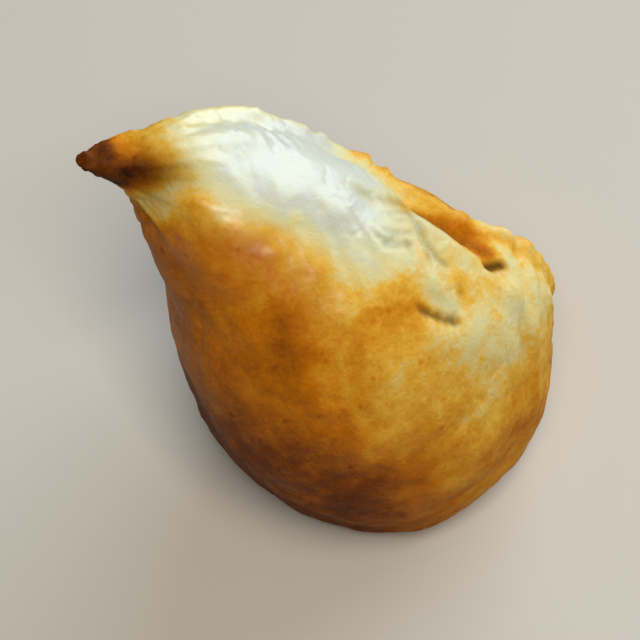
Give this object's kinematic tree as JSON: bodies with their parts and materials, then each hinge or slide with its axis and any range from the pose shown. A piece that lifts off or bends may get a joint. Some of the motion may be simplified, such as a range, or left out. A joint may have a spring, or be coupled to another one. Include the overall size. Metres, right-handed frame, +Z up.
{
  "type": "baked samosa",
  "caption": "Baked pastry pocket with a round puffed belly, a pinched horn leaning to one side, rolled seams with a small slit beside them, and a flat foot to rest on",
  "frame": {"origin": "on the ground under the middle of the whole samosa's bounding box", "axes": "+Z up out of the foot, the horn leans towards -X, and the side with the gaping seam faces +X"},
  "size_m": [0.0774, 0.0676, 0.095],
  "materials": {
    "crust": "egg-washed baked dough, golden brown with a soft gloss, darker at the foot and burnt at the horn's tip"
  },
  "bodies": {
    "root": {"samosa": "crust"}
  },
  "joints": []
}
